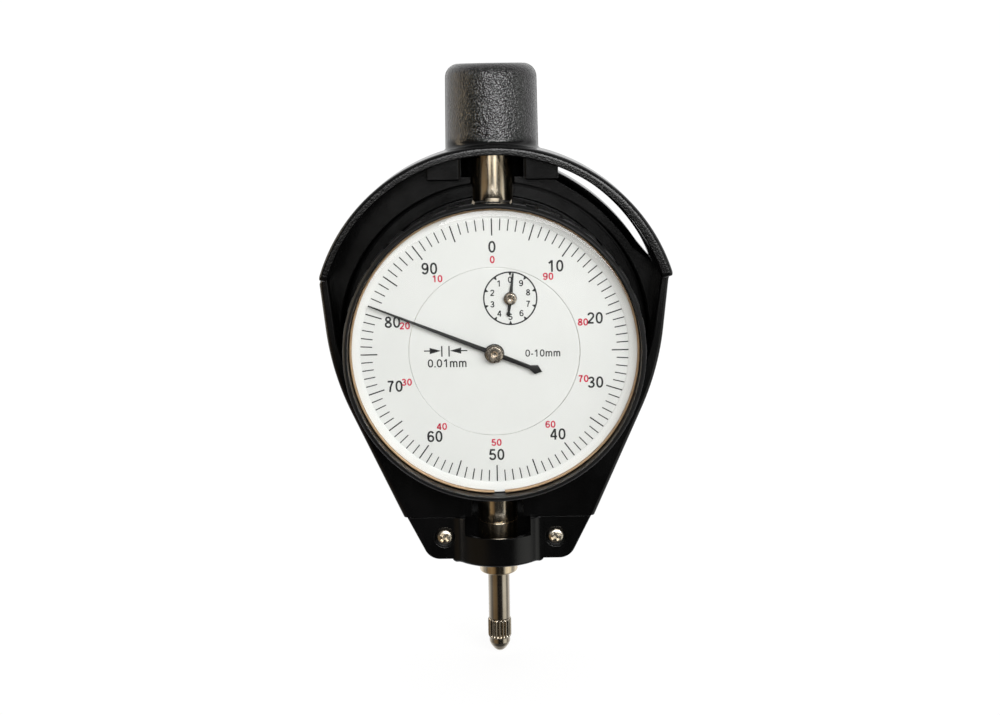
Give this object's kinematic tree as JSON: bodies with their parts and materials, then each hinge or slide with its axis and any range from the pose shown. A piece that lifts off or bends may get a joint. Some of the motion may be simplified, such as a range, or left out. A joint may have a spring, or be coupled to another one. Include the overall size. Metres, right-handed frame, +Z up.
{
  "type": "dial indicator",
  "caption": "Plunger dial indicator with a rotating dial, a long pointer and a turns counter, in a moulded black guard with a screwed clamping base and a rounded top cap.",
  "frame": {"origin": "centre of the contact point's flat tip with the spindle fully out", "axes": "+Z up the spindle, the dial faces -Y, and +X is to the right of someone reading it"},
  "size_m": [0.069, 0.0284, 0.1227],
  "materials": {
    "guard_black": "fine-grained moulded black plastic, glossier on worn edges",
    "case_black": "satin black enamel",
    "pointer_black": "satin black",
    "warm_nickel": "polished, slightly yellowed nickel plate",
    "steel": "ground and polished",
    "screw_steel": "zinc plated",
    "brass": "satin",
    "spring_steel": "bright drawn wire",
    "ruby": "polished red synthetic ruby",
    "dial_white": "matt white enamel with printed graduations",
    "crystal_clear": "clear and polished"
  },
  "bodies": {
    "housing": {"front_frame": "guard_black", "rear_shell": "guard_black", "base_clamp": "guard_black", "base_screw_left": "screw_steel", "base_screw_right": "screw_steel", "base_insert_left": "brass", "base_insert_right": "brass", "frame_screw_left": "screw_steel", "frame_screw_right": "screw_steel", "case_body": "case_black", "case_back_cover": "case_black", "cover_screw_upper": "steel", "cover_screw_lower": "steel", "stem": "warm_nickel", "stem_bushing": "brass", "guide_tube": "warm_nickel", "guide_tube_cap": "warm_nickel", "movement_plate": "brass", "movement_bridge": "brass", "bridge_pillar_1": "brass", "bridge_pillar_2": "brass", "bridge_pillar_3": "brass", "bridge_screw_1": "steel", "bridge_screw_2": "steel", "bridge_screw_3": "steel", "plate_screw_upper": "steel", "plate_screw_lower": "steel", "rack_cock": "brass", "cock_screw": "steel", "jewel_centre_front": "ruby", "jewel_centre_rear": "ruby", "jewel_counter_front": "ruby", "jewel_counter_rear": "ruby", "jewel_rack_front": "ruby", "jewel_rack_rear": "ruby", "dial_plate": "dial_white", "return_spring": "steel", "spring_post": "steel", "hairspring": "spring_steel", "hairspring_stud": "steel", "guide_block": "brass", "bezel_friction_spring": "spring_steel"},
    "spindle_assembly": {"spindle": "steel", "contact_point": "steel", "guide_pin": "steel", "stop_collar": "brass"},
    "bezel_assembly": {"bezel": "guard_black", "crystal": "crystal_clear", "snap_ring": "brass", "dial_ring": "dial_white", "dial_rim": "dial_white"},
    "pointer_assembly": {"centre_pinion": "steel", "main_pointer": "pointer_black", "main_pointer_hub": "warm_nickel"},
    "rack_arbor_assembly": {"rack_arbor": "steel", "drive_wheel": "brass"},
    "counter_assembly": {"counter_arbor": "steel", "counter_wheel": "brass", "counter_pointer": "pointer_black", "counter_pointer_hub": "warm_nickel"}
  },
  "joints": [
    {"name": "spindle_slide", "type": "slide", "parent": "housing", "child": "spindle_assembly", "axis": [0, 0, 1], "range_m": [0, 0.0103], "stiffness_N_per_m": 40, "springref_m": -0.01, "deforming": ["return_spring"]},
    {"name": "bezel_turn", "type": "hinge", "parent": "housing", "child": "bezel_assembly", "pos_m": [0, 0, 0.068], "axis": [0, -1, 0], "continuous": true},
    {"name": "pointer_turn", "type": "hinge", "parent": "housing", "child": "pointer_assembly", "pos_m": [0, 0, 0.068], "axis": [0, 1, 0], "range_deg": [0, 3708.5]},
    {"name": "rack_arbor_turn", "type": "hinge", "parent": "housing", "child": "rack_arbor_assembly", "pos_m": [-0.0032, 0, 0.05754], "axis": [0, -1, 0], "range_deg": [0, 371.3]},
    {"name": "counter_turn", "type": "hinge", "parent": "housing", "child": "counter_assembly", "pos_m": [0.0032, 0, 0.07846], "axis": [0, -1, 0], "range_deg": [0, 371.3]}
  ],
  "couplings": [
    {"joint": "pointer_turn", "follows": "spindle_slide", "rad_per_m": 6283.2},
    {"joint": "rack_arbor_turn", "follows": "spindle_slide", "rad_per_m": 628.32},
    {"joint": "counter_turn", "follows": "spindle_slide", "rad_per_m": 628.32}
  ]
}
